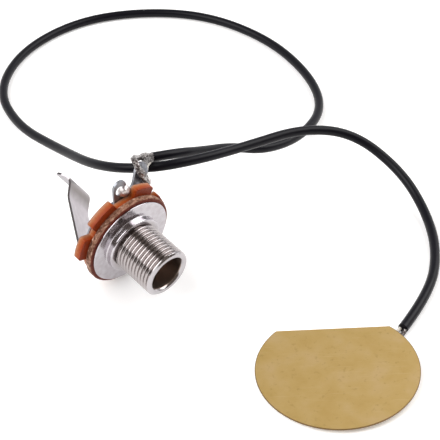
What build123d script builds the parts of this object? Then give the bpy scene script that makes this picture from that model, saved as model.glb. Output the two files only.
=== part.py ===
from build123d import *
from math import cos, radians, sin, tan
import os

# Contact pickup for an acoustic guitar: an end-pin jack, a black cable and a
# piezo disc.  All sizes are in millimetres.  The object lies loose on a flat
# top, with Z up and the top at Z = 0.  The jack stands on the low lobe of its
# lobed washer with its nose a little down, and the disc lies brass side up.

# ---- where the jack lies ----
jack_x = -17.0
jack_y = 11.0
jack_turn = 43.4        # degrees, from +X to the jack's level cross axis
jack_dip = 9.3          # degrees, nose down

# ---- jack bushing ----
thread_d = 9.0          # outside of the M9 x 0.75 thread
barrel_len = 9.6
barrel_chamfer = 0.4
plug_bore_d = 6.4       # takes a 6.35 mm plug
shoulder_d = 10.8
shoulder_len = 1.2
flange_d = 16.2
flange_t = 0.35
flange_round = 0.12
tail_d = 7.6            # thin tube that carries the stack
lip_d = 9.4             # rolled over behind the stack
lip_t = 0.6

# ---- stack behind the flange, front to back ----
stack_gap = 0.1         # across the diameter, between a washer and the tail
washer_d = 17.4
washer_t = 1.1
washer_round = 0.3
lobe_root_d = 16.4
lobe_d = 20.4           # across the tall lobes
low_lobe_d = 18.6       # across the low lobes
lobed_t = 1.5
lobe_round = 0.4
tube_wall = 0.55
tube_gap = 0.2          # across the diameter, between the tube and its washers
tip_ring_d = 13.4
sheet_t = 0.4           # spring sheet of the tip contact
rear_washer_d = 13.0
rear_washer_t = 0.9
sleeve_ring_d = 12.4
sleeve_t = 0.5

# ---- tip contact ----
blade_turn = 214.0      # degrees about the jack, where the blade leaves its ring
blade_w = 8.6           # at the crest
blade_root_w = 6.6
blade_root_r = 7.7      # where the blade turns back from the ring
blade_curl_r = 1.4      # where the blade starts to curl over
blade_curl_back = 12.9
blade_crest_r = -1.3    # corner of the crest, just past the jack's axis
blade_crest_back = 15.0
tongue_end_r = -0.2
tongue_end_back = 18.3
tongue_corner = 1.4
blade_root_bend = 0.5
blade_curl_bend = 4.0
blade_crest_bend = 1.6
tip_lug_turn = 93.0
tip_lug_w = 2.8
tip_lug_r = 11.9
tip_lug_lean = 0.5
tip_lug_bend = 2.0
tip_lug_eye_d = 1.8
tip_lug_eye_r = 9.9
tip_bead_r = 0.85

# ---- sleeve lug ----
sleeve_lug_turn = 56.0
sleeve_lug_w = 3.6
sleeve_lug_r = 12.4
sleeve_lug_fold_r = 8.8 # where the lug turns back
sleeve_lug_lean = 1.6
sleeve_lug_bend = 1.5
sleeve_bead_r = 0.85

# ---- cable ----
jacket_d = 1.8
jack_shield_d = 0.9
jack_core_d = 0.7
disc_shield_d = 0.8
disc_core_d = 0.6
conductor_d = 0.26

# ---- piezo disc ----
disc_x = 17.44
disc_y = -11.7
disc_tilt = 2.4         # degrees, right side up on its two solder joints
brass_d = 27.0
brass_t = 0.25
brass_chord_turn = 1.2
brass_chord = 9.55      # from the centre to the straight back edge
ceramic_d = 18.0
ceramic_t = 0.2
silver_d = 16.6
silver_t = 0.05
ground_bead_r = 1.8
ground_bead_in = 2.35   # its centre, in from the brass edge
ground_bead_turn = 36.3
signal_bead_r = 1.5
signal_bead_in = 1.75   # its centre, in from the silver edge
signal_bead_turn = 35.3

# ---- derived heights and planes ----
turn = radians(jack_turn)
dip = radians(jack_dip)
washer_back = flange_t + washer_t
jack_z = low_lobe_d / 2 * cos(dip) - washer_back * sin(dip)
nose = Vector(sin(turn) * cos(dip), -cos(turn) * cos(dip), -sin(dip))
level = Vector(cos(turn), sin(turn), 0)
jack = Plane(origin=(jack_x, jack_y, jack_z), x_dir=level, z_dir=nose)
rise = jack.y_dir

lobed_back = washer_back + lobed_t
tip_back = lobed_back + sheet_t
rear_back = tip_back + rear_washer_t
sleeve_back = rear_back + sleeve_t
lip_back = sleeve_back + lip_t
stack_hole_d = tail_d + stack_gap
tube_d = stack_hole_d + 2 * tube_wall
over_tube_d = tube_d + tube_gap

tilt = radians(disc_tilt)
disc_z = (ceramic_t + silver_t) * cos(tilt) + silver_d / 2 * sin(tilt)
under_brass = Plane(
    origin=(disc_x, disc_y, disc_z),
    x_dir=(cos(tilt), 0, sin(tilt)),
    z_dir=(-sin(tilt), 0, cos(tilt)),
)

os.makedirs("parts", exist_ok=True)

# Bushing: one turned brass part with its tail rolled over behind the stack.
with BuildPart() as jack_bushing:
    with BuildSketch(jack.offset(-lip_back)):
        Circle(tail_d / 2)
    extrude(amount=lip_back - flange_t)
    with BuildSketch(jack.offset(-lip_back)):
        Circle(lip_d / 2)
    extrude(amount=lip_t)
    with BuildSketch(jack.offset(-flange_t)):
        Circle(flange_d / 2)
    extrude(amount=flange_t)
    rim = jack_bushing.edges().filter_by(GeomType.CIRCLE).sort_by(SortBy.RADIUS)[-2:]
    fillet(rim, radius=flange_round)
    with BuildSketch(jack):
        Circle(shoulder_d / 2)
    extrude(amount=shoulder_len)
    with BuildSketch(jack):
        Circle(thread_d / 2)
    extrude(amount=barrel_len)
    front = jack_bushing.faces().sort_by(Axis(jack.origin, nose))[-1]
    chamfer(front.edges(), length=barrel_chamfer)
    lip_face = jack_bushing.faces().sort_by(Axis(jack.origin, nose))[0]
    fillet(lip_face.edges(), radius=lip_t / 2)
    with BuildSketch(jack.offset(-lip_back)):
        Circle(plug_bore_d / 2)
    extrude(amount=lip_back + barrel_len, mode=Mode.SUBTRACT)
jack_bushing.part.label = "jack_bushing"
export_step(jack_bushing.part, "parts/jack_bushing.step")

# Front washer: the fibre ring against the flange.
with BuildPart() as front_washer:
    with BuildSketch(jack.offset(-washer_back)):
        Circle(washer_d / 2)
        Circle(stack_hole_d / 2, mode=Mode.SUBTRACT)
    extrude(amount=washer_t)
    washer_face = front_washer.faces().sort_by(Axis(jack.origin, nose))[-1]
    washer_rim = washer_face.edges().sort_by(SortBy.RADIUS)[-1]
    fillet(washer_rim, radius=washer_round)
front_washer.part.label = "front_washer"
export_step(front_washer.part, "parts/front_washer.step")

# Lobed washer: varnished paper board with uneven lobes round its edge.
low = low_lobe_d / 2
tall = lobe_d / 2 + 0.4
lobes = [
    (28, 20, low - 0.3),
    (68.5, 23, tall),
    (124.5, 29, tall),
    (166, 24, tall),
    (270, 18, low),
    (314, 30, tall),
    (352, 14, low),
]
with BuildPart() as lobed_washer:
    with BuildSketch(jack.offset(-lobed_back)) as lobe_outline:
        Circle(lobe_root_d / 2)
        for mid, span, reach in lobes:
            with Locations(Rotation(0, 0, mid)):
                Rectangle(
                    reach,
                    lobe_d * tan(radians(span / 2)),
                    align=(Align.MIN, Align.CENTER),
                )
        Circle(lobe_d / 2, mode=Mode.INTERSECT)
        fillet(lobe_outline.vertices(), radius=lobe_round)
        Circle(over_tube_d / 2, mode=Mode.SUBTRACT)
    extrude(amount=lobed_t)
lobed_washer.part.label = "lobed_washer"
export_step(lobed_washer.part, "parts/lobed_washer.step")

# Insulating tube: keeps the tip contact off the tail.
with BuildPart() as insulating_tube:
    with BuildSketch(jack.offset(-tip_back)):
        Circle(tube_d / 2)
        Circle(stack_hole_d / 2, mode=Mode.SUBTRACT)
    extrude(amount=tip_back - washer_back)
insulating_tube.part.label = "insulating_tube"
export_step(insulating_tube.part, "parts/insulating_tube.step")

# Tip contact: one stamped leaf.  A ring round the tube carries a solder lug
# and a long blade that leans in to a rounded crest on the jack's axis.
blade_angle = radians(blade_turn)
blade_out = level * cos(blade_angle) + rise * sin(blade_angle)
blade_across = rise * cos(blade_angle) - level * sin(blade_angle)
blade_side = Plane(origin=jack.origin, x_dir=blade_out, z_dir=-blade_across)
blade_front = Plane(origin=jack.origin, x_dir=blade_across, z_dir=blade_out)
tip_lug_angle = radians(tip_lug_turn)
tip_lug_out = level * cos(tip_lug_angle) + rise * sin(tip_lug_angle)
tip_lug_across = rise * cos(tip_lug_angle) - level * sin(tip_lug_angle)
tip_lug_side = Plane(origin=jack.origin, x_dir=tip_lug_out, z_dir=-tip_lug_across)
tip_lug_flat = Plane(origin=jack.origin, x_dir=tip_lug_out, z_dir=nose)
leaf_mid = lobed_back + sheet_t / 2
ring_mid_r = (over_tube_d + tip_ring_d) / 4
with BuildPart() as blade:
    with BuildSketch(blade_side):
        with BuildLine():
            FilletPolyline(
                (ring_mid_r, -leaf_mid),
                (blade_root_r, -leaf_mid),
                (blade_curl_r, -blade_curl_back),
                (blade_crest_r, -blade_crest_back),
                (tongue_end_r, -tongue_end_back),
                radius=[blade_root_bend, blade_curl_bend, blade_crest_bend],
            )
        trace(line_width=sheet_t)
    extrude(amount=blade_w / 2, both=True)
    with BuildSketch(blade_front) as blade_outline:
        with BuildLine():
            Polyline(
                (blade_root_w / 2, 0),
                (blade_root_w / 2, -leaf_mid),
                (blade_w / 2, -blade_crest_back),
                (blade_w / 2, -tongue_end_back),
                (-blade_w / 2, -tongue_end_back),
                (-blade_w / 2, -blade_crest_back),
                (-blade_root_w / 2, -leaf_mid),
                (-blade_root_w / 2, 0),
                close=True,
            )
        make_face()
        fillet(blade_outline.vertices().sort_by(Axis.Y)[:2], radius=tongue_corner)
    extrude(amount=blade_w, both=True, mode=Mode.INTERSECT)
with BuildPart() as tip_contact:
    with BuildSketch(jack.offset(-tip_back)):
        Circle(tip_ring_d / 2)
        Circle(over_tube_d / 2, mode=Mode.SUBTRACT)
    extrude(amount=sheet_t)
    add(blade.part)
    with BuildSketch(tip_lug_side):
        with BuildLine():
            FilletPolyline(
                (ring_mid_r, -leaf_mid),
                (tip_ring_d / 2 + 1, -leaf_mid),
                (tip_lug_r, -leaf_mid - tip_lug_lean),
                radius=tip_lug_bend,
            )
        trace(line_width=sheet_t)
    extrude(amount=tip_lug_w / 2, both=True)
    with BuildSketch(tip_lug_flat.offset(-tip_back - 1)):
        with Locations((tip_lug_r, 0)):
            Rectangle(tip_lug_w, 2 * tip_lug_w)
        with Locations((tip_lug_r - tip_lug_w / 2, 0)):
            Circle(tip_lug_w / 2, mode=Mode.SUBTRACT)
        with Locations((tip_lug_eye_r, 0)):
            Circle(tip_lug_eye_d / 2)
    extrude(amount=2, mode=Mode.SUBTRACT)
tip_contact.part.label = "tip_contact"
export_step(tip_contact.part, "parts/tip_contact.step")

# Rear washer: insulates the tip contact from the sleeve lug.
with BuildPart() as rear_washer:
    with BuildSketch(jack.offset(-rear_back)):
        Circle(rear_washer_d / 2)
        Circle(stack_hole_d / 2, mode=Mode.SUBTRACT)
    extrude(amount=rear_washer_t)
rear_washer.part.label = "rear_washer"
export_step(rear_washer.part, "parts/rear_washer.step")

# Sleeve lug: a ring under the rolled lip, its one solder lug folded back.
sleeve_lug_angle = radians(sleeve_lug_turn)
sleeve_lug_out = level * cos(sleeve_lug_angle) + rise * sin(sleeve_lug_angle)
sleeve_lug_across = rise * cos(sleeve_lug_angle) - level * sin(sleeve_lug_angle)
sleeve_lug_side = Plane(
    origin=jack.origin, x_dir=sleeve_lug_out, z_dir=-sleeve_lug_across
)
sleeve_lug_flat = Plane(origin=jack.origin, x_dir=sleeve_lug_out, z_dir=nose)
sleeve_mid = rear_back + sleeve_t / 2
with BuildPart() as sleeve_lug:
    with BuildSketch(jack.offset(-sleeve_back)):
        Circle(sleeve_ring_d / 2)
        Circle(stack_hole_d / 2, mode=Mode.SUBTRACT)
    extrude(amount=sleeve_t)
    with BuildSketch(sleeve_lug_side):
        with BuildLine():
            FilletPolyline(
                ((stack_hole_d + sleeve_ring_d) / 4, -sleeve_mid),
                (sleeve_lug_fold_r, -sleeve_mid),
                (sleeve_lug_r, -sleeve_mid - sleeve_lug_lean),
                radius=sleeve_lug_bend,
            )
        trace(line_width=sleeve_t)
    extrude(amount=sleeve_lug_w / 2, both=True)
    with BuildSketch(sleeve_lug_flat.offset(-sleeve_back - 2 * sleeve_lug_lean)):
        with Locations((sleeve_lug_r, 0)):
            Rectangle(sleeve_lug_w, 2 * sleeve_lug_w)
        with Locations((sleeve_lug_r - sleeve_lug_w / 2, 0)):
            Circle(sleeve_lug_w / 2, mode=Mode.SUBTRACT)
    extrude(amount=sleeve_t + 2 * sleeve_lug_lean, mode=Mode.SUBTRACT)
sleeve_lug.part.label = "sleeve_lug"
export_step(sleeve_lug.part, "parts/sleeve_lug.step")

# Cable route: from the cut jacket at the jack, up over nothing and down to
# the top, round the loop, over itself twice behind the jack, and to the disc.
route_points = [
    (-13.9, 28, 14.3),
    (-9.4, 29.8, 14.0),
    (-5, 35, 10.6),
    (0.2, 41, 7.2),
    (7, 43.7, 4.5),
    (14.1, 50.9, 2.5),
    (19.1, 62.4, 1.0),
    (17.1, 74.9, 0.9),
    (9.1, 88.9, 0.9),
    (-3.9, 98.9, 0.9),
    (-18.4, 100.9, 0.9),
    (-32.9, 96.9, 0.9),
    (-43.9, 84.9, 0.9),
    (-47.4, 69.4, 0.9),
    (-41.9, 56.4, 1.1),
    (-32.4, 44.4, 4.2),
    (-23.9, 30.4, 10.4),
    (-14.4, 25, 14.0),
    (-5.4, 27.9, 13.95),
    (3.1, 34.9, 11.8),
    (13.6, 42.2, 10.6),
    (23.6, 44.4, 8.0),
    (32.1, 38.4, 3.8),
    (36.1, 29.4, 1.3),
    (37.1, 18.4, 0.9),
    (34.6, 6.9, 0.9),
    (29, -2.2, 0.9),
]
bend_radii = []
for i in range(1, len(route_points) - 1):
    before = Vector(route_points[i]) - Vector(route_points[i - 1])
    after = Vector(route_points[i + 1]) - Vector(route_points[i])
    half_turn = radians(before.get_angle(after)) / 2
    shorter = min(before.length, after.length)
    bend_radii.append(0.45 * shorter / tan(half_turn))
print("bend radii", [round(r, 1) for r in bend_radii])

with BuildPart() as cable_jacket:
    with BuildLine() as route:
        FilletPolyline(*route_points, radius=bend_radii)
    with BuildSketch(Plane(origin=route.line @ 0, z_dir=route.line % 0)):
        Circle(jacket_d / 2)
    sweep()
route_length = route.wires()[0].length
print("route length", round(route_length, 1))
print("jacket volume", round(cable_jacket.part.volume, 1))
print("section x length", round(3.14159265 * jacket_d**2 / 4 * route_length, 1))
cable_jacket.part.label = "cable_jacket"
export_step(cable_jacket.part, "parts/cable_jacket.step")

# Shield at the jack: the braid twisted to a tail, round the sleeve lug's end
# and down its front.  Points beside the lug are along it, across it and off it.
cable_start = route.line @ 0
with BuildPart() as jack_end_shield:
    sleeve_lug_face = sleeve_lug_flat.offset(-rear_back)
    with BuildLine() as shield_tail:
        FilletPolyline(
            cable_start + Vector(0, 0, 0.38),
            sleeve_lug_face.from_local_coords((sleeve_lug_r - 1.1, -6.5, -6.3)),
            sleeve_lug_face.from_local_coords((sleeve_lug_r - 1.2, -3.4, -5.2)),
            sleeve_lug_face.from_local_coords((sleeve_lug_r - 0.6, -0.4, -4.1)),
            sleeve_lug_face.from_local_coords((sleeve_lug_r - 0.1, 1.9, -2.4)),
            sleeve_lug_face.from_local_coords((sleeve_lug_r - 0.7, 2.1, -0.8)),
            sleeve_lug_face.from_local_coords((sleeve_lug_r - 1.6, 1.1, 0.25)),
            sleeve_lug_face.from_local_coords((sleeve_lug_r - 2.6, -1.0, 0.45)),
            radius=0.7,
        )
    with BuildSketch(Plane(origin=shield_tail.line @ 0, z_dir=shield_tail.line % 0)):
        Circle(jack_shield_d / 2)
    sweep()
    add(cable_jacket.part, mode=Mode.SUBTRACT)
jack_end_shield.part.label = "jack_end_shield"
export_step(jack_end_shield.part, "parts/jack_end_shield.step")

# Core at the jack: its insulation runs behind the sleeve lug, through the gap
# between that lug and the lobed washer, then the bare conductor to the tip lug.
core_lane = (lobed_back + rear_back) / 2
lane_r = tip_ring_d / 2 + 1.2
with BuildPart() as jack_end_core_insulation:
    with BuildLine() as core_tail:
        FilletPolyline(
            cable_start + Vector(0, -0.1, -0.48),
            jack.from_local_coords((12.0, 4.4, -9.6)),
            jack.from_local_coords((10.4, 5.5, -8.5)),
            jack.from_local_coords((9.2, 5.9, -7.3)),
            jack.from_local_coords((7.6, 5.9, -sleeve_back - 1.2)),
            jack.from_local_coords((6.9, 4.3, -rear_back)),
            jack.from_local_coords((0.66 * lane_r, 0.75 * lane_r, -core_lane)),
            jack.from_local_coords((0.49 * lane_r, 0.9 * lane_r, -core_lane)),
            jack.from_local_coords((0.31 * lane_r, 1.02 * lane_r, -core_lane)),
            jack.from_local_coords((0.18 * lane_r, 1.13 * lane_r, -core_lane - 0.1)),
            radius=0.5,
        )
    with BuildSketch(Plane(origin=core_tail.line @ 0, z_dir=core_tail.line % 0)):
        Circle(jack_core_d / 2)
    sweep()
    add(cable_jacket.part, mode=Mode.SUBTRACT)
jack_end_core_insulation.part.label = "jack_end_core_insulation"
export_step(jack_end_core_insulation.part, "parts/jack_end_core_insulation.step")

core_end = core_tail.line @ 1
core_heading = core_tail.line % 1
with BuildPart() as jack_end_conductor:
    with BuildSketch(Plane(origin=core_end, z_dir=core_heading)):
        Circle(conductor_d / 2)
    extrude(amount=0.8)
jack_end_conductor.part.label = "jack_end_conductor"
export_step(jack_end_conductor.part, "parts/jack_end_conductor.step")

# Solder on the two lugs of the jack, each a bead round its wire's end.
with BuildPart() as sleeve_solder:
    with Locations(sleeve_lug_face.location):
        with Locations((sleeve_lug_r - 2.75, -1.2, 0.15)):
            Sphere(sleeve_bead_r)
    add(sleeve_lug.part, mode=Mode.SUBTRACT)
    add(jack_end_shield.part, mode=Mode.SUBTRACT)
sleeve_solder.part.label = "sleeve_solder"
export_step(sleeve_solder.part, "parts/sleeve_solder.step")

with BuildPart() as tip_solder:
    with Locations(tip_lug_flat.offset(-tip_back).location):
        with Locations((tip_lug_eye_r - 0.6, 0.45 - tip_lug_w / 2, 0.1)):
            Sphere(tip_bead_r)
    add(tip_contact.part, mode=Mode.SUBTRACT)
    add(jack_end_conductor.part, mode=Mode.SUBTRACT)
    add(jack_end_core_insulation.part, mode=Mode.SUBTRACT)
tip_solder.part.label = "tip_solder"
export_step(tip_solder.part, "parts/tip_solder.step")

# Piezo disc: a brass plate with its back edge cut straight, and under it the
# ceramic with a silver face.  It leans on the silver's left edge.
with BuildPart() as brass_disc:
    with BuildSketch(under_brass) as brass_outline:
        Circle(brass_d / 2)
        with Locations(Rotation(0, 0, brass_chord_turn)):
            with Locations((0, brass_chord)):
                Rectangle(
                    brass_d,
                    brass_d,
                    align=(Align.CENTER, Align.MIN),
                    mode=Mode.SUBTRACT,
                )
        fillet(brass_outline.vertices(), radius=0.5)
    extrude(amount=brass_t)
brass_disc.part.label = "brass_disc"
export_step(brass_disc.part, "parts/brass_disc.step")

with BuildPart() as piezo_ceramic:
    with BuildSketch(under_brass.offset(-ceramic_t)):
        Circle(ceramic_d / 2)
    extrude(amount=ceramic_t)
piezo_ceramic.part.label = "piezo_ceramic"
export_step(piezo_ceramic.part, "parts/piezo_ceramic.step")

with BuildPart() as silver_electrode:
    with BuildSketch(under_brass.offset(-ceramic_t - silver_t)):
        Circle(silver_d / 2)
    extrude(amount=silver_t)
silver_electrode.part.label = "silver_electrode"
export_step(silver_electrode.part, "parts/silver_electrode.step")

# Where the two beads hang under the disc.
ground_angle = radians(ground_bead_turn)
ground_reach = brass_d / 2 - ground_bead_in
ground_at = Vector(
    disc_x + ground_reach * cos(ground_angle),
    disc_y + ground_reach * sin(ground_angle),
)
signal_angle = radians(signal_bead_turn)
signal_reach = silver_d / 2 - signal_bead_in
signal_at = Vector(
    disc_x + signal_reach * cos(signal_angle),
    disc_y + signal_reach * sin(signal_angle),
)

# Wires at the disc: shield to the brass, core to the silver.
cable_end = route.line @ 1
with BuildPart() as disc_end_shield:
    with BuildLine() as ground_tail:
        FilletPolyline(
            cable_end + Vector(0.34, -0.21, -0.15),
            cable_end + Vector(-0.2, -1.2, -0.4),
            ground_at + Vector(1.4, 0.7, 0.42),
            ground_at + Vector(0.5, 0.1, 0.42),
            radius=0.6,
        )
    with BuildSketch(Plane(origin=ground_tail.line @ 0, z_dir=ground_tail.line % 0)):
        Circle(disc_shield_d / 2)
    sweep()
    add(cable_jacket.part, mode=Mode.SUBTRACT)
disc_end_shield.part.label = "disc_end_shield"
export_step(disc_end_shield.part, "parts/disc_end_shield.step")

with BuildPart() as disc_end_core_insulation:
    with BuildLine() as signal_tail:
        FilletPolyline(
            cable_end + Vector(-0.38, 0.24, -0.15),
            cable_end + Vector(-1.0, -0.5, -0.4),
            ground_at + Vector(-0.2, 2.2, 0.36),
            signal_at + Vector(1.3, 2.7, 0.32),
            signal_at + Vector(1.0, 2.1, 0.32),
            radius=0.5,
        )
    with BuildSketch(Plane(origin=signal_tail.line @ 0, z_dir=signal_tail.line % 0)):
        Circle(disc_core_d / 2)
    sweep()
    add(cable_jacket.part, mode=Mode.SUBTRACT)
disc_end_core_insulation.part.label = "disc_end_core_insulation"
export_step(disc_end_core_insulation.part, "parts/disc_end_core_insulation.step")

with BuildPart() as disc_end_conductor:
    with BuildSketch(Plane(origin=signal_tail.line @ 1, z_dir=signal_tail.line % 1)):
        Circle(conductor_d / 2)
    extrude(amount=2.4)
disc_end_conductor.part.label = "disc_end_conductor"
export_step(disc_end_conductor.part, "parts/disc_end_conductor.step")

# Solder at the disc: the ground bead hangs from the brass and stands on the
# top, the signal bead hangs from the silver and stays clear of it.
with BuildPart() as disc_ground_solder:
    with Locations(ground_at + Vector(0, 0, ground_bead_r)):
        Sphere(ground_bead_r)
    split(bisect_by=under_brass, keep=Keep.BOTTOM)
    add(disc_end_shield.part, mode=Mode.SUBTRACT)
disc_ground_solder.part.label = "disc_ground_solder"
export_step(disc_ground_solder.part, "parts/disc_ground_solder.step")

under_silver = under_brass.offset(-ceramic_t - silver_t)
with BuildPart() as disc_signal_solder:
    with Locations(signal_at + Vector(0, 0, signal_bead_r + 0.08)):
        Sphere(signal_bead_r)
    split(bisect_by=under_silver, keep=Keep.BOTTOM)
    add(disc_end_conductor.part, mode=Mode.SUBTRACT)
disc_signal_solder.part.label = "disc_signal_solder"
export_step(disc_signal_solder.part, "parts/disc_signal_solder.step")

for piece in (
    jack_bushing,
    front_washer,
    lobed_washer,
    insulating_tube,
    tip_contact,
    rear_washer,
    sleeve_lug,
    brass_disc,
    piezo_ceramic,
    silver_electrode,
    sleeve_solder,
    tip_solder,
    disc_ground_solder,
    disc_signal_solder,
):
    box = piece.part.bounding_box()
    print(
        piece.part.label,
        [round(v, 2) for v in (box.min.X, box.min.Y, box.min.Z)],
        [round(v, 2) for v in (box.max.X, box.max.Y, box.max.Z)],
        round(piece.part.volume, 2),
    )
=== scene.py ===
from math import cos, pi, radians, sin

import bmesh
import bpy
import numpy as np
from mathutils import Matrix, Vector


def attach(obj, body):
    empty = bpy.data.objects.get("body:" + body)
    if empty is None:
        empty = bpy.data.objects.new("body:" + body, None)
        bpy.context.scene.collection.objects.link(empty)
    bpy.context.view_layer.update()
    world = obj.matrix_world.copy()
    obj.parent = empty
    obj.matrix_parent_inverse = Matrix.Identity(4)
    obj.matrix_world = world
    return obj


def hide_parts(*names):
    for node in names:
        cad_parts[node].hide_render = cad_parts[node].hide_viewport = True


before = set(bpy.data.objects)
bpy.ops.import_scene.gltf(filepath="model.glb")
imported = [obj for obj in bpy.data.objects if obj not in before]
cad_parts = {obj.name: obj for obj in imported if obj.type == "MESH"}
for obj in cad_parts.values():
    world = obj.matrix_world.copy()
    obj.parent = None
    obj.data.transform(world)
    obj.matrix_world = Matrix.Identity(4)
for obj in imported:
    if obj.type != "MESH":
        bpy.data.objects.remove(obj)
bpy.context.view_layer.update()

# ---------------------------------------------------------------------------
# The table and the light.  The pickup lies loose on a white table under two
# soft lamps, in a dim room whose far wall is lit low down, so that the bright
# metal has both dark and light to show.
# ---------------------------------------------------------------------------
scene = bpy.context.scene
scene.view_settings.view_transform = "Standard"

look_at = np.array([-0.00172, 0.028, 0.0])
look_down = radians(38.753)
look_far = 0.2728
camera_data = bpy.data.cameras.new("camera")
camera_data.lens = 121.18
camera_data.sensor_width = 36.0
camera_data.clip_start = 0.01
camera = bpy.data.objects.new("camera", camera_data)
camera.location = (
    look_at[0],
    look_at[1] - look_far * cos(look_down),
    look_far * sin(look_down),
)
camera.rotation_euler = (pi / 2 - look_down, 0.0, 0.0)
scene.collection.objects.link(camera)
scene.camera = camera


def feed(tree, node, inputs):
    """Gives the node's inputs, by name or number, their values: another node's
    output is linked, and a plain value is set.
    """
    for key, value in inputs.items():
        if isinstance(value, bpy.types.NodeSocket):
            tree.links.new(value, node.inputs[key])
        else:
            node.inputs[key].default_value = value


def add_node(tree, kind, inputs=None):
    """A new shader node of that kind, with its inputs fed."""
    node = tree.nodes.new("ShaderNode" + kind)
    feed(tree, node, inputs or {})
    return node


def maths(tree, operation, *values, kind="Math"):
    """A Math or VectorMath node that does the operation on the values."""
    node = add_node(tree, kind)
    node.operation = operation
    feed(tree, node, dict(enumerate(values)))
    return node


def span(tree, value, low, high, to_low=0.0, to_high=1.0, run="LINEAR"):
    """Value mapped from low..high to to_low..to_high and held at the ends, on
    a LINEAR or a SMOOTHSTEP run.
    """
    node = add_node(tree, "MapRange")
    node.interpolation_type = run
    feed(tree, node, {
        "Value": value,
        "From Min": low,
        "From Max": high,
        "To Min": to_low,
        "To Max": to_high,
    })
    return node.outputs[0]


def ramp(tree, value, *stops):
    """A smooth run of colours (position, colour) over value."""
    node = add_node(tree, "ValToRGB", {"Fac": value})
    bar = node.color_ramp.elements
    while len(bar) < len(stops):
        bar.new(1.0)
    for element, (position, colour) in zip(bar, stops):
        element.position = position
        element.color = colour
    return node.outputs["Color"]


full_white = (1.0, 1.0, 1.0, 1.0)
dim_wall = (0.19, 0.16, 0.14, 1.0)
lit_wall = (0.88, 0.89, 0.92, 1.0)

world = bpy.data.worlds.new("room")
world.use_nodes = True
scene.world = world
room = world.node_tree
room.nodes.clear()
# Only the far wall, towards +Y, is lit, and only low down.
room_place = add_node(room, "TexCoord")
room_way = add_node(room, "SeparateXYZ", {0: room_place.outputs["Generated"]})
far_wall = span(room, room_way.outputs["Y"], 0.0, 0.7, run="SMOOTHSTEP")
low_down = span(room, room_way.outputs["Z"], 0.85, 0.35, run="SMOOTHSTEP")
lit = maths(room, "MULTIPLY", far_wall, low_down).outputs[0]
room_tone = ramp(room, lit, (0.0, dim_wall), (1.0, lit_wall))
room_light = add_node(room, "Background", {"Color": room_tone})
room_white = add_node(room, "Background", {"Color": full_white})
room_path = add_node(room, "LightPath")
room_seen = add_node(room, "MixShader", {
    "Fac": room_path.outputs["Is Camera Ray"],
    1: room_light.outputs["Background"],
    2: room_white.outputs["Background"],
})
add_node(room, "OutputWorld", {"Surface": room_seen.outputs["Shader"]})

lamp_aim = Vector((0, 0.02, 0))
lamp_size = 0.65


def soft_lamp(name, place, power):
    """A square area lamp at place that faces lamp_aim."""
    data = bpy.data.lights.new(name, "AREA")
    data.shape = "SQUARE"
    data.size = lamp_size
    data.energy = power
    lamp = bpy.data.objects.new(name, data)
    lamp.location = place
    away = Vector(place) - lamp_aim
    lamp.rotation_euler = away.to_track_quat("Z", "Y").to_euler()
    scene.collection.objects.link(lamp)


soft_lamp("lamp_left", (-0.45, -0.12, 0.52), 5.4)
soft_lamp("lamp_right", (0.5, 0.2, 0.55), 5.0)

table_half = 3.0
table_glow = 0.3
table_tone = (0.86, 0.86, 0.86, 1.0)
table_corners = [
    (-table_half, -table_half, 0),
    (table_half, -table_half, 0),
    (table_half, table_half, 0),
    (-table_half, table_half, 0),
]
table_mesh = bpy.data.meshes.new("table")
table_mesh.from_pydata(table_corners, [], [(0, 1, 2, 3)])
table = bpy.data.objects.new("table", table_mesh)
scene.collection.objects.link(table)
table_white = bpy.data.materials.new("table_white")
table_white.use_nodes = True
tree = table_white.node_tree
tree.nodes.clear()
path = add_node(tree, "LightPath")
camera_ray = path.outputs["Is Camera Ray"]
glossy_ray = path.outputs["Is Glossy Ray"]
seen = maths(tree, "MAXIMUM", camera_ray, glossy_ray).outputs[0]
lift = maths(tree, "MULTIPLY", seen, table_glow).outputs[0]
glow = add_node(tree, "Emission", {"Color": full_white, "Strength": lift})
paint = add_node(tree, "BsdfDiffuse", {"Color": table_tone})
both = add_node(tree, "AddShader", {0: paint.outputs[0], 1: glow.outputs[0]})
add_node(tree, "OutputMaterial", {"Surface": both.outputs[0]})
table.data.materials.append(table_white)

# ---------------------------------------------------------------------------
# Jack bushing: one turned and nickel-plated brass part.  A threaded barrel
# stands on a low shoulder and a flange, and a thin tail behind carries the
# stack and is rolled over its last ring.
# ---------------------------------------------------------------------------
turn = radians(43.4)
dip = radians(9.3)
low_lobe_r = 9.3
washer_back = 1.45
nose = np.array([sin(turn) * cos(dip), -cos(turn) * cos(dip), -sin(dip)])
level = np.array([cos(turn), sin(turn), 0.0])
rise = np.cross(nose, level)
jack_z = low_lobe_r * cos(dip) - washer_back * sin(dip)
jack_at = np.array([-17.0, 11.0, jack_z]) / 1000
jack_axes = Matrix(np.column_stack([level, rise, nose]).tolist())
jack_space = (jack_at, jack_axes)

same_point = 1e-7
sharp_edge = radians(40)


def around_jack(radius, angle, along):
    """Points at a radius and an angle about the jack's axis and a length along
    its nose, all in millimetres and radians: origin + radius times (cosine of
    the angle on the level axis + sine on the rising axis) + length on the nose.
    """
    radius, angle, along = np.broadcast_arrays(radius, angle, along)
    across = radius * np.cos(angle)
    up = radius * np.sin(angle)
    local = across[..., None] * level + up[..., None] * rise
    return jack_at + (local + along[..., None] * nose) / 1000


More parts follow.
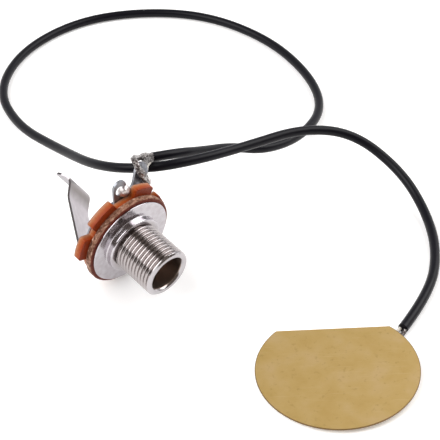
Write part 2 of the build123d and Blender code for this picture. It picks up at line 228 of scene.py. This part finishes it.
def rounded(corners, steps=5):
    """A line through corners (r, w, cut): each corner with a cut is replaced
    by the quadratic curve (1-t)^2 before + 2t(1-t) corner + t^2 after, where
    before and after lie that cut from the corner on its two edges.
    """
    points = np.array([c[:2] for c in corners], float)
    line = [points[:1]]
    t = np.linspace(0, 1, steps)[:, None]
    for before, here, after, cut in zip(
        points[:-2], points[1:-1], points[2:], [c[2] for c in corners[1:-1]]
    ):
        if cut == 0:
            line.append(here[None])
            continue
        start = here + (before - here) * cut / np.linalg.norm(before - here)
        end = here + (after - here) * cut / np.linalg.norm(after - here)
        line.append((1 - t) ** 2 * start + 2 * t * (1 - t) * here + t**2 * end)
    line.append(points[-1:])
    return np.vstack(line)


def grid_object(name, grid, node=None, wrap_rows=False):
    """An object on body root from a grid of points (rows, columns, 3): each
    cell becomes one quad, and the last column joins the first, as the last row
    does with wrap_rows.  Equal points are merged, and the faces are turned so
    that the volume is positive.
    """
    rows, columns = grid.shape[:2]
    number = np.arange(rows * columns).reshape(rows, columns)
    if wrap_rows:
        number = np.vstack([number, number[:1]])
    number = np.hstack([number, number[:, :1]])
    quads = np.stack(
        [number[:-1, :-1], number[:-1, 1:], number[1:, 1:], number[1:, :-1]], -1
    ).reshape(-1, 4)
    flat = grid.reshape(-1, 3)
    a, b, c, d = (flat[quads[:, k]] - flat.mean(0) for k in range(4))
    if (np.cross(a, b) * c + np.cross(a, c) * d).sum() < 0:
        quads = quads[:, ::-1]
    mesh = bpy.data.meshes.new(name)
    mesh.from_pydata(flat.tolist(), [], quads.tolist())
    work = bmesh.new()
    work.from_mesh(mesh)
    bmesh.ops.remove_doubles(work, verts=work.verts, dist=same_point)
    work.to_mesh(mesh)
    work.free()
    mesh.shade_smooth()
    mesh.set_sharp_from_angle(angle=sharp_edge)
    piece = bpy.data.objects.new(name, mesh)
    scene.collection.objects.link(piece)
    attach(piece, "root")
    if node:
        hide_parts(node)
    return piece


def srgb(red, green, blue):
    """The linear colour of 8-bit sRGB values, each (value / 255) ** 2.2."""
    return (*(np.array([red, green, blue]) / 255) ** 2.2, 1.0)


def material(name):
    """A new material, its node tree and its one surface shader."""
    made = bpy.data.materials.new(name)
    made.use_nodes = True
    return made, made.node_tree, made.node_tree.nodes["Principled BSDF"]


def local_space(tree, space):
    """Object coordinates in millimetres, measured from the origin of space
    along the columns of its axes.
    """
    origin, axes = space
    place = add_node(tree, "TexCoord")
    mapping = add_node(tree, "Mapping")
    mapping.vector_type = "TEXTURE"
    feed(tree, mapping, {
        "Vector": place.outputs["Object"],
        "Location": origin,
        "Rotation": axes.to_euler(),
        "Scale": (0.001, 0.001, 0.001),
    })
    return mapping.outputs["Vector"]


def noise(tree, where, scale, detail=3.0, stretch=(1, 1, 1)):
    """Noise with that many cells per millimetre, drawn out by stretch."""
    squeeze = maths(tree, "DIVIDE", where, stretch, kind="VectorMath")
    cells = add_node(tree, "TexNoise", {
        "Vector": squeeze.outputs[0],
        "Scale": scale,
        "Detail": detail,
    })
    return cells.outputs["Fac"]


def mixed(tree, share, first, second):
    """Colour first where share is 0 and second where it is 1."""
    node = add_node(tree, "Mix")
    node.data_type = "RGBA"
    feed(tree, node, {0: share, 6: first, 7: second})
    return node.outputs[2]


def dented(tree, height, depth, strength=1.0):
    """The normal of a bump from height, with depth in millimetres."""
    node = add_node(tree, "Bump", {
        "Height": height,
        "Distance": depth / 1000,
        "Strength": strength,
    })
    return node.outputs["Normal"]


def from_axis(tree, where):
    """The distance of each point from the local third axis, and its length
    along that axis.
    """
    parts = add_node(tree, "SeparateXYZ", {0: where})
    flat = maths(tree, "MULTIPLY", where, (1, 1, 0), kind="VectorMath")
    size = maths(tree, "LENGTH", flat.outputs[0], kind="VectorMath")
    return size.outputs["Value"], parts.outputs["Z"]


# The bushing's sizes in millimetres, radii from its axis and lengths from the
# flange's front.
flange_r = 8.1
flange_t = 0.35
shoulder_r = 5.4
shoulder_len = 1.2
thread_r = 4.5
thread_pitch = 0.75
thread_deep = 0.34
thread_run_out = 0.4
barrel_len = 9.6
bore_r = 3.2
tail_r = 3.8
lip_r = 4.7
lip_t = 0.6
lip_back = 5.35
thread_from = shoulder_len + 0.15
thread_to = barrel_len - 0.28
thread_rows = 180
bushing_columns = 176
behind = rounded([
    (bore_r, barrel_len - 0.6, 0),
    (bore_r, -lip_back, 0.15),
    (lip_r, -lip_back, 0.3),
    (lip_r, lip_t - lip_back, 0.25),
    (tail_r, lip_t - lip_back, 0),
    (tail_r, -flange_t, 0),
    (flange_r, -flange_t, 0.12),
    (flange_r, 0, 0.12),
    (shoulder_r, 0, 0.25),
    (shoulder_r, shoulder_len, 0.3),
    (thread_r - thread_deep, shoulder_len, 0),
    (thread_r - thread_deep, shoulder_len + 0.1, 0),
])
threaded = np.linspace(thread_from, thread_to, thread_rows)
threaded = np.column_stack([np.full(thread_rows, thread_r), threaded])
front = rounded([
    (thread_r - 0.12, barrel_len - 0.2, 0),
    (thread_r - 0.36, barrel_len, 0.08),
    (bore_r + 0.32, barrel_len, 0.08),
    (bore_r, barrel_len - 0.4, 0),
])
outline = np.vstack([behind, threaded, front])
bushing_turns = np.linspace(0, 2 * pi, bushing_columns, endpoint=False)
bushing_r = outline[:, :1] + 0 * bushing_turns
bushing_w = outline[:, 1:] + 0 * bushing_turns
# The thread: a rounded groove between broader crests.  Its line climbs one
# pitch a turn, and it runs out at the rim.
climb = (bushing_w / thread_pitch - bushing_turns / (2 * pi)) % 1.0
groove = (0.5 - 0.5 * np.cos(2 * pi * climb)) ** 1.8
on_thread = (bushing_w > thread_from - 0.01) & (bushing_r > thread_r - 0.1)
run_out = np.clip((barrel_len - 0.15 - bushing_w) / thread_run_out, 0, 1)
bushing_r = bushing_r - on_thread * run_out * thread_deep * groove
bushing = grid_object(
    "bushing",
    around_jack(bushing_r, bushing_turns, bushing_w),
    "jack_bushing",
    wrap_rows=True,
)

nickel, tree, shader = material("nickel_plate")
where = local_space(tree, jack_space)
reach, along = from_axis(tree, where)
cloud = noise(tree, where, 0.9, 4.0)
worn = noise(tree, where, 6.0, 5.0)
plate = ramp(
    tree,
    cloud,
    (0.35, srgb(180, 174, 178)),
    (0.65, srgb(194, 190, 194)),
)
spots = span(tree, worn, 0.7, 0.76)
# Painted shade: the barrel is painted a darker grey than the flange.
barrel_shade = span(tree, reach, shoulder_r - 0.1, thread_r + 0.05)
# Painted shade: the thread's grooves are painted a darker brown-grey.
groove_shade = span(tree, reach, thread_r - 0.06, thread_r - thread_deep, 0, 0.6)
at_rim = span(tree, along, barrel_len - 0.4, barrel_len - 0.25)
inside = span(tree, reach, bore_r + 0.1, bore_r + 0.02)
plate = mixed(tree, spots, plate, srgb(150, 138, 132))
plate = mixed(tree, barrel_shade, plate, srgb(170, 164, 164))
plate = mixed(tree, groove_shade, plate, srgb(118, 108, 104))
plate = mixed(tree, at_rim, plate, srgb(178, 174, 176))
plate = mixed(tree, inside, plate, srgb(166, 150, 140))
outer_gloss = span(tree, worn, 0.3, 0.75, 0.12, 0.2)
bore_gloss = span(tree, inside, 0, 1, 0, 0.36)
gloss = maths(tree, "MAXIMUM", outer_gloss, bore_gloss).outputs[0]
feed(tree, shader, {"Base Color": plate, "Roughness": gloss, "Metallic": 1.0})
bushing.data.materials.append(nickel)

# ---------------------------------------------------------------------------
# Front washer: a ring punched from brown resin board, against the flange.
# Its cut rim is paler than its varnished faces.
# ---------------------------------------------------------------------------
flat_joint = radians(2)
cad_sharp_edge = radians(35)


def eased_copy(name, node, round_by):
    """A copy of a CAD node with its points merged and its edges rounded by
    round_by millimetres, that stands for the node.
    """
    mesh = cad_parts[node].data.copy()
    mesh.name = name
    mesh.materials.clear()
    work = bmesh.new()
    work.from_mesh(mesh)
    bmesh.ops.remove_doubles(work, verts=work.verts, dist=same_point)
    bmesh.ops.dissolve_limit(
        work, angle_limit=flat_joint, verts=work.verts, edges=work.edges
    )
    work.to_mesh(mesh)
    work.free()
    mesh.shade_smooth()
    mesh.set_sharp_from_angle(angle=cad_sharp_edge)
    piece = bpy.data.objects.new(name, mesh)
    scene.collection.objects.link(piece)
    if round_by:
        bevel = piece.modifiers.new("edges", "BEVEL")
        bevel.width = round_by / 1000
        bevel.segments = 2
        bevel.limit_method = "ANGLE"
        bevel.angle_limit = sharp_edge
        bevel.harden_normals = True
    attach(piece, "root")
    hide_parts(node)
    return piece


washer_r = 8.7
front_washer = eased_copy("board_washer", "front_washer", 0.0)
board, tree, shader = material("washer_board")
where = local_space(tree, jack_space)
reach, _ = from_axis(tree, where)
fibre = noise(tree, where, 1.8, 6.0, (1, 1, 0.6))
rim = ramp(
    tree,
    fibre,
    (0.34, srgb(84, 52, 42)),
    (0.46, srgb(134, 96, 76)),
    (0.58, srgb(156, 116, 98)),
    (0.68, srgb(204, 174, 152)),
)
face = ramp(tree, fibre, (0.3, srgb(84, 28, 16)), (0.7, srgb(120, 54, 36)))
on_rim = span(tree, reach, washer_r - 0.16, washer_r - 0.06)
feed(tree, shader, {
    "Base Color": mixed(tree, on_rim, face, rim),
    "Roughness": 0.6,
    "Specular IOR Level": 0.25,
    "Normal": dented(tree, fibre, 0.03),
})
front_washer.data.materials.append(board)

# ---------------------------------------------------------------------------
# Lobed washer: a thick washer of varnished paper board with uneven lobes, that
# keeps the tip contact off the flange.  Its colour is painted pale at the back
# and deep orange-brown at the front: painted light and shade over its grain.
# ---------------------------------------------------------------------------
lobed_t = 1.5
lobed_front = -washer_back
lobed_rear = lobed_front - lobed_t
lobed_washer = eased_copy("lobes", "lobed_washer", 0.12)
varnish, tree, shader = material("varnished_board")
where = local_space(tree, jack_space)
_, along = from_axis(tree, where)
fibre = noise(tree, where, 2.6, 8.0)
# Painted light and shade: the colour darkens and deepens from the back face to
# the front face.
depth = span(tree, along, lobed_rear, lobed_front, -0.2, 0.8)
grain_and_front_shade = maths(tree, "MULTIPLY_ADD", fibre, 0.4, depth).outputs[0]
lobe_grain_and_shade = ramp(
    tree,
    grain_and_front_shade,
    (0.0, srgb(128, 86, 68)),
    (0.14, srgb(172, 126, 102)),
    (0.3, srgb(168, 102, 64)),
    (0.55, srgb(158, 76, 34)),
    (0.8, srgb(146, 60, 20)),
    (1.0, srgb(124, 46, 14)),
)
feed(tree, shader, {
    "Base Color": lobe_grain_and_shade,
    "Roughness": 0.36,
    "Specular IOR Level": 0.16,
    "Normal": dented(tree, fibre, 0.06),
})
lobed_washer.data.materials.append(varnish)

# ---------------------------------------------------------------------------
# Insulating tube: a rolled board sleeve on the tail, inside the lobed washer
# and the tip contact.
# ---------------------------------------------------------------------------


def clouded(
    name, space, cells, first, second, roughness, metallic=0.0, dents=0.0
):
    """A material whose colour runs from the stop first to the stop second over
    noise in the space, with the scale, detail and stretch of cells.  The noise
    also dents it, by dents millimetres.
    """
    made, tree, shader = material(name)
    cloud = noise(tree, local_space(tree, space), *cells)
    feed(tree, shader, {
        "Base Color": ramp(tree, cloud, first, second),
        "Roughness": roughness,
        "Metallic": metallic,
    })
    if dents:
        feed(tree, shader, {"Normal": dented(tree, cloud, dents)})
    return made


tube = eased_copy("board_tube", "insulating_tube", 0.05)
tube_board = clouded(
    "tube_board",
    jack_space,
    (6.0, 3.0, (1, 1, 4)),
    (0.3, srgb(70, 36, 22)),
    (0.7, srgb(108, 64, 44)),
    roughness=0.6,
)
tube.data.materials.append(tube_board)

# ---------------------------------------------------------------------------
# Tip contact: one leaf stamped from tinned spring brass.  Its ring sits on the
# tube, its lug takes the core, and its blade touches the plug's tip.
# ---------------------------------------------------------------------------
leaf = eased_copy("contact_leaf", "tip_contact", 0.06)
blade_turn = radians(214)
side_faces = 0.15
blade_top = 0.004
curl_from, curl_to = -12.6, -16.2
tongue_from, tongue_to = -15.4, -16.6
lug_from, lug_to = 6.5, 8.0
# The sheared sides of the blade face across it, and lie below blade_top.
blade_across = rise * cos(blade_turn) - level * sin(blade_turn)
facing = np.empty(len(leaf.data.polygons) * 3)
leaf.data.polygons.foreach_get("normal", facing)
middle = np.empty(len(leaf.data.polygons) * 3)
leaf.data.polygons.foreach_get("center", middle)
sheared_side_shade = np.abs(facing.reshape(-1, 3) @ blade_across) > side_faces
sheared_side_shade &= (middle.reshape(-1, 3) - jack_at) @ rise < blade_top
sheared_mark = leaf.data.attributes.new("sheared_side_shade", "FLOAT", "FACE")
sheared_mark.data.foreach_set("value", sheared_side_shade.astype(np.float32))
tinned, tree, shader = material("tinned_brass")
where = local_space(tree, jack_space)
_, along = from_axis(tree, where)
up = add_node(tree, "SeparateXYZ", {0: where}).outputs["Y"]
side_mark = add_node(tree, "Attribute")
side_mark.attribute_name = "sheared_side_shade"
side = side_mark.outputs["Fac"]
dull = noise(tree, where, 0.8, 4.0)
skin = ramp(tree, dull, (0.3, srgb(174, 168, 174)), (0.7, srgb(192, 186, 191)))
# Painted shade: a darker grey band across the blade's curl.
curl_shade = ramp(
    tree,
    span(tree, along, curl_from, curl_to),
    (0.0, (0, 0, 0, 1)),
    (0.35, (0.8, 0.8, 0.8, 1)),
    (0.6, (0.6, 0.6, 0.6, 1)),
    (0.85, (0, 0, 0, 1)),
)
# Painted shade: the tongue at the blade's end is painted greyer.
tongue_shade = span(tree, along, tongue_from, tongue_to)
on_lug = span(tree, up, lug_from, lug_to, 0.0, 0.9)
skin = mixed(tree, curl_shade, skin, srgb(122, 116, 112))
skin = mixed(tree, tongue_shade, skin, srgb(160, 156, 160))
skin = mixed(tree, on_lug, skin, srgb(142, 146, 152))
# The sheared sides are painted dark grey: partly the bare cut edge, partly
# painted shade on the thin edges.
skin = mixed(tree, side, skin, srgb(62, 56, 58))
feed(tree, shader, {
    "Base Color": skin,
    "Metallic": span(tree, side, 0.0, 1.0, 0.9, 0.2),
    "Roughness": span(tree, side, 0.0, 1.0, 0.38, 0.6),
})
leaf.data.materials.append(tinned)

# ---------------------------------------------------------------------------
# Rear washer: a second ring of brown board, between the tip contact and the
# sleeve lug.
# ---------------------------------------------------------------------------
rear_washer = eased_copy("rear_board", "rear_washer", 0.08)
rear_washer.data.materials.append(board)

# ---------------------------------------------------------------------------
# Sleeve lug: a tinned ring under the rolled lip, with one lug folded back for
# the shield.  Its tin is duller than the tip contact's.
# ---------------------------------------------------------------------------
sleeve_lug = eased_copy("lug", "sleeve_lug", 0.06)
dull_tin = clouded(
    "dull_tin",
    jack_space,
    (1.2, 4.0),
    (0.35, srgb(96, 96, 102)),
    (0.65, srgb(150, 152, 158)),
    roughness=0.4,
    metallic=0.8,
)
sleeve_lug.data.materials.append(dull_tin)

# ---------------------------------------------------------------------------
# The cable: a thin coaxial lead in soft black plastic, one piece from the
# jack to the disc.  It rises behind the jack, loops on the table and crosses
# over itself twice.
# ---------------------------------------------------------------------------
cable_points = np.array([
    (-13.9, 28.0, 14.3),
    (-9.4, 29.8, 14.0),
    (-5.0, 35.0, 10.6),
    (0.2, 41.0, 7.2),
    (7.0, 43.7, 4.5),
    (14.1, 50.9, 2.5),
    (19.1, 62.4, 1.0),
    (17.1, 74.9, 0.9),
    (9.1, 88.9, 0.9),
    (-3.9, 98.9, 0.9),
    (-18.4, 100.9, 0.9),
    (-32.9, 96.9, 0.9),
    (-43.9, 84.9, 0.9),
    (-47.4, 69.4, 0.9),
    (-41.9, 56.4, 1.1),
    (-32.4, 44.4, 4.2),
    (-23.9, 30.4, 10.4),
    (-14.4, 25.0, 14.0),
    (-5.4, 27.9, 13.95),
    (3.1, 34.9, 11.8),
    (13.6, 42.2, 10.6),
    (23.6, 44.4, 8.0),
    (32.1, 38.4, 3.8),
    (36.1, 29.4, 1.3),
    (37.1, 18.4, 0.9),
    (34.6, 6.9, 0.9),
    (29.0, -2.2, 0.9),
]) / 1000
cable_d = 0.0018
cable_curve = bpy.data.curves.new("cable", "CURVE")
cable_curve.dimensions = "3D"
cable_line = cable_curve.splines.new("NURBS")
cable_line.points.add(len(cable_points) - 1)
cable_line.points.foreach_set(
    "co", np.c_[cable_points, np.ones(len(cable_points))].ravel()
)
# The tube's radius is each point's radius times the bevel depth.
cable_line.points.foreach_set("radius", [cable_d / 2] * len(cable_points))
cable_line.order_u = 3
cable_line.use_endpoint_u = True
cable_line.resolution_u = 16
cable_curve.bevel_depth = 1.0
cable_curve.bevel_resolution = 8
cable_curve.use_fill_caps = True
cable = bpy.data.objects.new("cable", cable_curve)
scene.collection.objects.link(cable)
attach(cable, "root")
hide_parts("cable_jacket")

cable_black, tree, shader = material("cable_black")
where = local_space(tree, ((0, 0, 0), Matrix.Identity(3)))
grain = noise(tree, where, 2.6)
feed(tree, shader, {
    "Base Color": (0.0035, 0.0032, 0.006, 1),
    "Specular IOR Level": 0.16,
    "Roughness": span(tree, grain, 0.0, 1.0, 0.3, 0.42),
    "Normal": dented(tree, grain, 0.03, 0.25),
})
cable_curve.materials.append(cable_black)

# ---------------------------------------------------------------------------
# Wires at the jack: the shield splays at the sheath's mouth, leaves one strand
# loose, and is twisted to a tail that is soldered to the sleeve lug.  The core
# in milky plastic reaches the tip lug with its bare end.
# ---------------------------------------------------------------------------
wire_sides = 24
strand_depth = 0.36
jack_off_axis = (0.2, 0.1, 1.0)
lug_back = 4.25


def eased_path(points, rounds=4):
    """A smooth path through the corners of points: each round puts two points
    on every edge, a quarter and three quarters along, and keeps the ends.
    """
    path = np.asarray(points, float)
    for _ in range(rounds):
        first = 0.75 * path[:-1] + 0.25 * path[1:]
        second = 0.25 * path[:-1] + 0.75 * path[1:]
        inner = np.stack([first, second], 1).reshape(-1, 3)
        path = np.vstack([path[:1], inner, path[-1:]])
    return path


def wire_grid(path, radius, strands, twists, off_axis):
    """A twisted wire on path, in metres: at each point the radius is
    multiplied by 1 - depth + depth times the size of cos(strands / 2 times
    (angle - twist)), with the twist growing along the path, and shrinks to
    nothing at both ends.  The angle starts square to the path and off_axis.
    """
    ahead = np.gradient(path, axis=0)
    ahead /= np.linalg.norm(ahead, axis=1, keepdims=True)
    side = np.cross(ahead, off_axis)
    side /= np.linalg.norm(side, axis=1, keepdims=True)
    over = np.cross(side, ahead)
    run = np.r_[0, np.cumsum(np.linalg.norm(np.diff(path, axis=0), axis=1))]
    run = (run / run[-1])[:, None]
    angle = np.linspace(0, 2 * pi, wire_sides, endpoint=False)[None]
    ridge = np.abs(np.cos(strands / 2 * (angle - 2 * pi * twists * run)))
    depth = strand_depth if strands else 0.0
    size = radius * (1 - depth + depth * ridge)
    size = np.vstack([0 * size[:1], size, 0 * size[-1:]])
    path, side, over = (
        np.vstack([part[:1], part, part[-1:]]) for part in (path, side, over)
    )
    angle = np.repeat(angle, len(path), 0)
    out = np.cos(angle)[..., None] * side[:, None]
    out = out + np.sin(angle)[..., None] * over[:, None]
    return path[:, None] + size[..., None] * out


def by_jack(u, v, w):
    """The point u, v, w millimetres along the jack's level, rise and nose."""
    return jack_at + (u * level + v * rise + w * nose) / 1000


lug_turn = radians(56)
lug_out = level * cos(lug_turn) + rise * sin(lug_turn)
lug_across = rise * cos(lug_turn) - level * sin(lug_turn)


def by_lug(out, across, off):
    """The point that many millimetres out along, across and off the sleeve
    lug, whose plane lies lug_back behind the flange.
    """
    flat = out * lug_out + across * lug_across
    return jack_at + (flat + (off - lug_back) * nose) / 1000


def painted(node, look):
    """A CAD node, shown as it is in the material look."""
    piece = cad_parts[node]
    piece.data.materials.clear()
    piece.data.materials.append(look)
    return piece


shield_path = eased_path([
    cable_points[0] + np.array([0, 0, 0.38]) / 1000,
    by_lug(11.3, -6.5, -6.3),
    by_lug(11.2, -3.4, -5.2),
    by_lug(11.8, -0.4, -4.1),
    by_lug(12.3, 1.9, -2.4),
    by_lug(11.7, 2.1, -0.8),
    by_lug(10.8, 1.1, 0.25),
    by_lug(9.8, -1.0, 0.45),
])
jack_shield = grid_object(
    "jack_shield",
    wire_grid(shield_path, 0.00058, 3, 1.0, jack_off_axis),
    "jack_end_shield",
)
braid, tree, shader = material("braid")
tarnish = noise(tree, local_space(tree, jack_space), 3.0, 4.0)
strand_tone = ramp(
    tree,
    tarnish,
    (0.36, srgb(70, 62, 62)),
    (0.5, srgb(122, 116, 114)),
    (0.64, srgb(184, 180, 178)),
)
feed(tree, shader, {
    "Base Color": strand_tone,
    "Roughness": 0.3,
    "Metallic": 0.9,
})
jack_shield.data.materials.append(braid)

mouth_path = eased_path([
    cable_points[0],
    by_lug(10.8, -6.0, -5.3),
    by_lug(10.9, -4.2, -4.0),
    by_lug(11.2, -2.2, -2.6),
    by_lug(11.8, -0.4, -1.9),
])
mouth_size = np.linspace(0.00082, 0.0005, len(mouth_path))[:, None]
shield_mouth = grid_object(
    "shield_mouth",
    wire_grid(mouth_path, mouth_size, 9, 0.6, jack_off_axis),
)
shield_mouth.data.materials.append(braid)

loose_path = eased_path([
    by_lug(12.2, 2.9, -1.6),
    by_lug(12.0, 2.2, -0.5),
    by_lug(11.3, 0.7, 0.0),
    by_lug(10.5, -0.8, 0.1),
])
loose_strand = grid_object(
    "loose_strand",
    wire_grid(loose_path, 0.0003, 3, 2.0, jack_off_axis),
)
loose_strand.data.materials.append(braid)

core_path = eased_path([
    cable_points[0] + np.array([0, -0.1, -0.48]) / 1000,
    by_jack(12.0, 4.4, -9.6),
    by_jack(10.4, 5.5, -8.5),
    by_jack(9.2, 5.9, -7.3),
    by_jack(7.6, 5.9, -5.95),
    by_jack(6.9, 4.3, -4.25),
    by_jack(5.21, 5.93, -3.6),
    by_jack(3.87, 7.11, -3.6),
    by_jack(2.45, 8.06, -3.6),
    by_jack(1.42, 8.93, -3.7),
])
jack_core = grid_object(
    "jack_core",
    wire_grid(core_path, 0.00035, 0, 0.0, jack_off_axis),
    "jack_end_core_insulation",
)
milky = clouded(
    "core_plastic",
    jack_space,
    (2.0, 3.0),
    (0.3, srgb(206, 200, 190)),
    (0.7, srgb(236, 233, 226)),
    roughness=0.4,
)
jack_core.data.materials.append(milky)

copper = clouded(
    "copper",
    jack_space,
    (4.0, 2.0),
    (0.3, srgb(176, 116, 84)),
    (0.7, srgb(222, 168, 130)),
    roughness=0.35,
    metallic=1.0,
)
bare_core = painted("jack_end_conductor", copper)

# ---------------------------------------------------------------------------
# Solder at the jack: a small smooth bead of tin solder holds the shield on the
# sleeve lug, and a lumpier one the bare core in the tip lug's eye.
# ---------------------------------------------------------------------------
bead_rows = 28
bead_columns = 40
pole_gap = 0.001


def lump(name, node, size):
    """A bead about the middle of a CAD node: an ellipsoid with half sizes
    size, in metres.  Its radius is multiplied by 1 + sin(polar) times
    (0.06 sin(3 turn + 2 polar) + 0.04 cos(2 turn - 5 polar)), and the polar
    angle stops pole_gap short of each pole.
    """
    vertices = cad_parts[node].data.vertices
    corners = np.empty(len(vertices) * 3)
    vertices.foreach_get("co", corners)
    corners = corners.reshape(-1, 3)
    middle = (corners.min(0) + corners.max(0)) / 2
    polar = np.linspace(pole_gap, pi - pole_gap, bead_rows)[:, None]
    turns = np.linspace(0, 2 * pi, bead_columns, endpoint=False)[None]
    swell = 1 + 0.06 * np.sin(3 * turns + 2 * polar) * np.sin(polar)
    swell = swell + 0.04 * np.cos(2 * turns - 5 * polar) * np.sin(polar)
    ball = np.stack([
        np.sin(polar) * np.cos(turns) * swell,
        np.sin(polar) * np.sin(turns) * swell,
        np.cos(polar) * swell,
    ], -1) * np.array(size)
    turned = ball[..., :1] * level + ball[..., 1:2] * rise
    turned = turned + ball[..., 2:] * nose
    return grid_object(name, middle + turned, node)


tip_bead_size = (0.00115, 0.00105, 0.00085)
sleeve_bead = eased_copy("sleeve_bead", "sleeve_solder", 0.0)
tip_bead = lump("tip_bead", "tip_solder", tip_bead_size)
solder = clouded(
    "solder",
    jack_space,
    (1.6, 3.0),
    (0.3, srgb(190, 180, 180)),
    (0.7, srgb(236, 230, 228)),
    roughness=0.3,
    metallic=0.8,
    dents=0.12,
)
sleeve_bead.data.materials.append(solder)
tip_bead.data.materials.append(solder)

# ---------------------------------------------------------------------------
# Brass disc: a thin rolled plate, its back edge cut straight.  It lies with
# its bare side up and leans a little on what hangs under it.
# ---------------------------------------------------------------------------
disc_x = 17.44
disc_y = -11.7
disc_r = 13.5
under_disc_t = 0.25
silver_r = 8.3
disc_tilt = radians(2.4)
disc_z = under_disc_t * cos(disc_tilt) + silver_r * sin(disc_tilt)
disc_at = np.array([disc_x, disc_y, disc_z]) / 1000
disc_axes = Matrix([
    (cos(disc_tilt), 0, -sin(disc_tilt)),
    (0, 1, 0),
    (sin(disc_tilt), 0, cos(disc_tilt)),
])
disc_space = (disc_at, disc_axes)
plate_disc = eased_copy("plate", "brass_disc", 0.05)
brass, tree, shader = material("disc_brass")
where = local_space(tree, disc_space)
reach, _ = from_axis(tree, where)
mottle = noise(tree, where, 0.22, 10.0)
grime = noise(tree, where, 1.3, 6.0)
scratch = noise(tree, where, 2.4, 3.0, (12, 0.7, 1))
cross = noise(tree, where, 4.0, 3.0, (2, 1, 1))
tone = ramp(
    tree,
    mottle,
    (0.32, srgb(188, 157, 94)),
    (0.5, srgb(193, 163, 103)),
    (0.68, srgb(197, 168, 116)),
)
smears = span(tree, grime, 0.6, 0.7, 0.0, 0.5)
lines = span(tree, scratch, 0.62, 0.74, 0.0, 0.35)
marks = span(tree, cross, 0.66, 0.74, 0.0, 0.3)
# Painted shade: a dark brown band at the disc's outer edge.
edge_shade = span(tree, reach, disc_r - 0.14, disc_r - 0.08)
tone = mixed(tree, smears, tone, srgb(170, 142, 84))
tone = mixed(tree, lines, tone, srgb(206, 180, 132))
tone = mixed(tree, marks, tone, srgb(160, 130, 76))
tone = mixed(tree, edge_shade, tone, srgb(118, 92, 56))
feed(tree, shader, {
    "Base Color": tone,
    "Roughness": span(tree, cross, 0.3, 0.7, 0.36, 0.46),
    "Metallic": 0.6,
})
plate_disc.data.materials.append(brass)

# ---------------------------------------------------------------------------
# Ceramic and silver: a pressed ceramic wafer glued under the brass, with a
# fired silver coat that stops short of its rim.
# ---------------------------------------------------------------------------
fired = clouded(
    "ceramic",
    disc_space,
    (3.0, 3.0),
    (0.3, srgb(216, 206, 186)),
    (0.7, srgb(238, 232, 216)),
    roughness=0.6,
)
painted("piezo_ceramic", fired)
silver = clouded(
    "silver_coat",
    disc_space,
    (2.0, 4.0),
    (0.3, srgb(206, 206, 204)),
    (0.7, srgb(238, 238, 236)),
    roughness=0.4,
    metallic=0.9,
)
painted("silver_electrode", silver)

# ---------------------------------------------------------------------------
# Wires and solder at the disc: the shield on the brass, the core on the
# silver, each under its bead.
# ---------------------------------------------------------------------------
disc_off_axis = (0.1, 0.2, 1.0)


def under_disc(out, turn):
    """The point of the table, in millimetres, that far out from the disc's
    middle at that turn.
    """
    return np.array([disc_x + out * cos(turn), disc_y + out * sin(turn), 0.0])


ground_at = under_disc(11.15, radians(36.3))
signal_at = under_disc(6.55, radians(35.3))
cable_tip = cable_points[-1] * 1000
disc_shield_path = eased_path([
    cable_tip + (0.34, -0.21, -0.15),
    cable_tip + (-0.2, -1.2, -0.4),
    ground_at + (1.4, 0.7, 0.42),
    ground_at + (0.5, 0.1, 0.42),
]) / 1000
disc_shield = grid_object(
    "disc_shield",
    wire_grid(disc_shield_path, 0.0004, 5, 1.5, disc_off_axis),
    "disc_end_shield",
)
disc_shield.data.materials.append(braid)
disc_core_path = eased_path([
    cable_tip + (-0.38, 0.24, -0.15),
    cable_tip + (-1.0, -0.5, -0.4),
    ground_at + (-0.2, 2.2, 0.36),
    signal_at + (1.3, 2.7, 0.32),
    signal_at + (1.0, 2.1, 0.32),
]) / 1000
disc_core = grid_object(
    "disc_core",
    wire_grid(disc_core_path, 0.0003, 0, 0.0, disc_off_axis),
    "disc_end_core_insulation",
)
disc_core.data.materials.append(milky)
painted("disc_end_conductor", copper)
painted("disc_ground_solder", solder)
painted("disc_signal_solder", solder)
